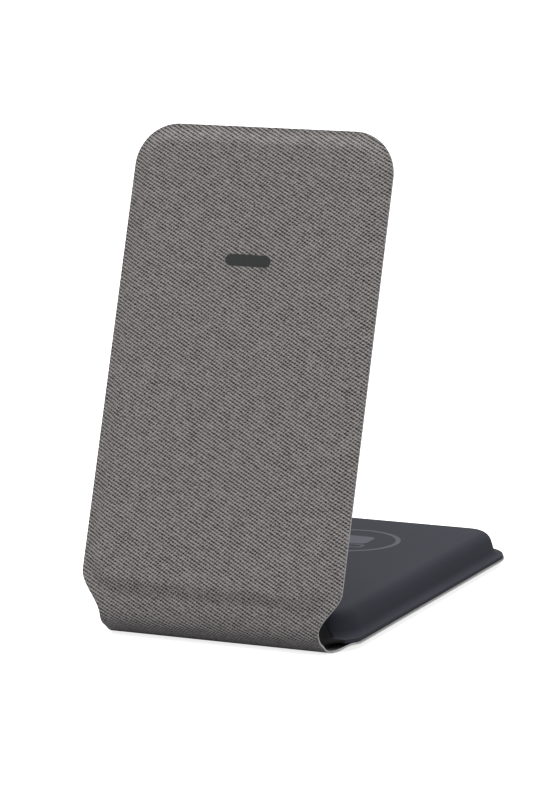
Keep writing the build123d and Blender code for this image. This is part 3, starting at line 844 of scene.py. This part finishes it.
def make_cloth():
    """Four pieces of one continuous cloth, two of them over the fold. Only the two panel pieces are attached to
    bodies.
    """
    half = cloth_strip.half
    seam = half + SEAM_S
    far_rows = corner_rows(SEAM_S, PANEL_ROW) + half
    base = cloth_piece("base_cloth", -far_rows, (False, True))
    lower = cloth_piece("spine_cloth_lower", rows_between(0, -seam, FOLD_ROW), (False, False))
    upper = cloth_piece("spine_cloth_upper", rows_between(0, seam, FOLD_ROW), (False, False))
    upright = cloth_piece("upright_cloth", far_rows, (False, True))
    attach(base, "base")
    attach(upright, "upright")
    near, far = CLOTH_BEND_SHORT, half + CLOTH_BEND_PAST
    bend(lower, cloth_strip, -far, -near)
    bend(upper, cloth_strip, near, far)
    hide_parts("base_fabric")
    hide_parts("upright_fabric")
    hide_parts("spine_fabric")


def make_covers():
    """Both soft covers. The base's is open at the socket and the light."""
    base = cover_piece("base_cover", BASE, NECK_BASE)
    upright = cover_piece("upright_cover", UPRIGHT, NECK_UPRIGHT)
    holes = (("socket_hole", "port_bezel"), ("light_hole", "status_light_pipe"))
    cut_holes(base, [hole_cutter(name, node) for name, node in holes])
    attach(base, "base")
    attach(upright, "upright")
    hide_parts("base_pad_cover")
    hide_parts("upright_pad_cover")


def make_lining():
    """The skin over the hinges, in two halves that meet at the fold's middle."""
    lower, length = lining_piece("fold_lining_lower", 0.0, 0.5)
    upper, _ = lining_piece("fold_lining_upper", 0.5, 1.0)
    reach = over_hinges.half
    bend(lower, over_hinges, -reach, -INNER_BEND_SHORT)
    bend(upper, over_hinges, INNER_BEND_SHORT, reach)
    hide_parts("spine_lining")


def make_ribbon():
    """The flat cable, in two halves that meet at the fold's middle."""
    low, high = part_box("ribbon_cable")
    level = low.z - DROP
    strip = Strip(SpineCurve(PAD_START, RIBBON_REACH, RIBBON_REACH, level))
    reach = strip.half + high.y - joint_at["base_fold"].y - PAD_START
    x = np.linspace(low.x, high.x, RIBBON_COLUMNS)[None, :]
    halves = []
    for name, end in (("ribbon_lower", -reach), ("ribbon_upper", reach)):
        v = rows_between(0, end, RIBBON_ROW)[:, None]
        outer = strip.place(x, v, 0.0 * x)
        inner = strip.place(x, v, 0.0 * x + RIBBON)
        flat = np.stack(np.broadcast_arrays(x, v), -1)
        piece = closed_sheet(name, outer, inner, flat, (ribbon_amber,), (False, False))
        halves.append(piece)
    bend(halves[0], strip, -strip.half, -INNER_BEND_SHORT)
    bend(halves[1], strip, INNER_BEND_SHORT, strip.half)
    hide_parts("ribbon_cable")


def paint_hard_pieces():
    """Gives each CAD node its slot's material."""
    slots = {part["node"]: part["material_slot"] for part in frame["record"]["subparts"]}
    for name, piece in frame["nodes"].items():
        piece.data.materials.clear()
        piece.data.materials.append(SLOT_MATERIALS[slots[name]])


# ---- Stage ----

def area_light(name, place, aim, size, power):
    """A soft square light at place, turned towards aim."""
    lamp = bpy.data.lights.new(name, "AREA")
    lamp.shape = "RECTANGLE"
    lamp.size, lamp.size_y = size
    lamp.energy = power
    light = bpy.data.objects.new(name, lamp)
    bpy.context.scene.collection.objects.link(light)
    light.location = place
    light.rotation_mode = "QUATERNION"
    light.rotation_quaternion = (Vector(aim) - Vector(place)).to_track_quat("-Z", "Y")
    return light


def floor_material():
    """A pale floor. It is white to the camera and throws back less light than it shows."""
    material = grained_material("studio floor", (246, 246, 246), (252, 252, 252), 0.9, bump=0.0)
    nodes, links = nodes_of(material)
    shader = nodes["Principled BSDF"]
    wire = Wires(material.node_tree)
    grain = shader.inputs["Base Color"].links[0].from_socket
    is_seen = nodes.new("ShaderNodeLightPath").outputs["Is Camera Ray"]
    links.new(wire.mix(is_seen, linear(FLOOR_BOUNCE), grain), shader.inputs["Base Color"])
    links.new(wire.mix(is_seen, (0, 0, 0, 1), (1, 1, 1, 1)), shader.inputs["Emission Color"])
    shader.inputs["Emission Strength"].default_value = FLOOR_GLOW
    return material


def make_world():
    """A white backdrop to the camera, and an even pale light on the object."""
    scene = bpy.context.scene
    world = bpy.data.worlds.new("studio")
    world.use_nodes = True
    nodes, links = world.node_tree.nodes, world.node_tree.links
    ambient = nodes["Background"]
    ambient.inputs["Color"].default_value = (0.96, 0.98, 1.0, 1)
    ambient.inputs["Strength"].default_value = AMBIENT
    backdrop = nodes.new("ShaderNodeBackground")
    backdrop.inputs["Color"].default_value = (1, 1, 1, 1)
    choice = nodes.new("ShaderNodeMixShader")
    links.new(nodes.new("ShaderNodeLightPath").outputs["Is Camera Ray"], choice.inputs[0])
    links.new(ambient.outputs[0], choice.inputs[1])
    links.new(backdrop.outputs[0], choice.inputs[2])
    links.new(choice.outputs[0], nodes["World Output"].inputs["Surface"])
    scene.world = world
    scene.view_settings.view_transform = "Standard"


def make_stage():
    """The floor and the two soft lights."""
    side = FLOOR_HALF
    corners = [(-side, -side, 0), (side, -side, 0), (side, side, 0), (-side, side, 0)]
    floor = finish_mesh("floor", corners, [(0, 1, 2, 3)], materials=(floor_material(),))
    area_light("key", *KEY_LIGHT)
    area_light("top", *TOP_LIGHT)


def make_camera():
    """A long lens from behind and to the right, a little above the object."""
    eye, aim = Vector(CAMERA_EYE), Vector(CAMERA_AIM)
    lens = bpy.data.cameras.new("camera")
    lens.lens = CAMERA_LENS
    lens.clip_start = 0.05
    lens.clip_end = 50
    camera = bpy.data.objects.new("camera", lens)
    bpy.context.scene.collection.objects.link(camera)
    camera.location = eye
    camera.rotation_mode = "QUATERNION"
    camera.rotation_quaternion = (aim - eye).to_track_quat("-Z", "Y")
    bpy.context.scene.camera = camera


make_cloth()
make_covers()
make_lining()
make_ribbon()
paint_hard_pieces()
make_world()
make_stage()
make_camera()
